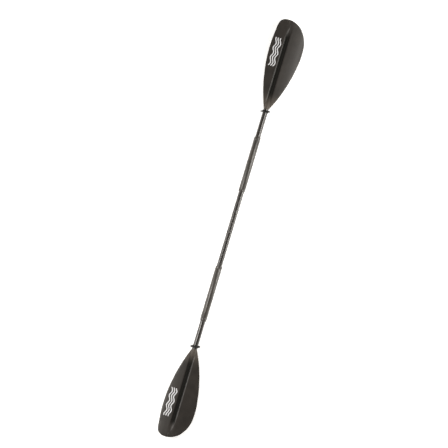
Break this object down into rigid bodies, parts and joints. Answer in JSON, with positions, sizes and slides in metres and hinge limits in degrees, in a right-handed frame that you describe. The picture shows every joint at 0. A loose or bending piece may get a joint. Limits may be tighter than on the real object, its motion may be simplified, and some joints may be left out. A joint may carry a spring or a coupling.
{
  "type": "kayak paddle",
  "caption": "Take-apart double-bladed touring kayak paddle with asymmetric spooned blades, a snap-button ferrule in the middle, hand grips and drip rings.",
  "frame": {"origin": "on the shaft's axis at mid length, where a paddle clip holds it", "axes": "+X along the shaft towards the right blade, +Y towards the long straight edge of both blades, +Z out of the power faces, so the paddle lies face up"},
  "size_m": [2.2, 0.17, 0.0517],
  "materials": {
    "blade_nylon": "satin",
    "shaft_composite": "satin",
    "grip_rubber": "satin",
    "ring_rubber": "matte",
    "ferrule_composite": "satin",
    "plug_plastic": "matte",
    "seam_plastic": "satin",
    "stainless_steel": "satin",
    "closed_cell_foam": "matte"
  },
  "bodies": {
    "right_half": {"blade_right": "blade_nylon", "shaft_right": "shaft_composite", "grip_right": "grip_rubber", "ferrule_male": "ferrule_composite", "ferrule_plug": "plug_plastic", "foam_stopper_right": "closed_cell_foam", "button_spring": "stainless_steel"},
    "seam_ring": {"seam_ring": "seam_plastic"},
    "left_half": {"blade_left": "blade_nylon", "shaft_left": "shaft_composite", "grip_left": "grip_rubber", "ferrule_socket": "ferrule_composite", "foam_stopper_left": "closed_cell_foam"},
    "snap_button": {"snap_button": "stainless_steel"},
    "drip_ring_right": {"drip_ring_right": "ring_rubber"},
    "drip_ring_left": {"drip_ring_left": "ring_rubber"}
  },
  "joints": [
    {"name": "feather_turn", "type": "hinge", "parent": "right_half", "child": "seam_ring", "pos_m": [0.032, 0, 0], "axis": [1, 0, 0], "range_deg": [-60, 60], "deforming": ["snap_button"]},
    {"name": "pull_apart", "type": "slide", "parent": "seam_ring", "child": "left_half", "axis": [-1, 0, 0], "range_m": [0, 0.13]},
    {"name": "button_press", "type": "slide", "parent": "right_half", "child": "snap_button", "axis": [0, 0, -1], "range_m": [0, 0.0055], "stiffness_N_per_m": 3000, "springref_m": -0.001, "deforming": ["button_spring"]},
    {"name": "ring_right_slide", "type": "slide", "parent": "right_half", "child": "drip_ring_right", "axis": [-1, 0, 0], "range_m": [-0.003, 0.122]},
    {"name": "ring_left_slide", "type": "slide", "parent": "left_half", "child": "drip_ring_left", "axis": [1, 0, 0], "range_m": [-0.003, 0.122]}
  ]
}
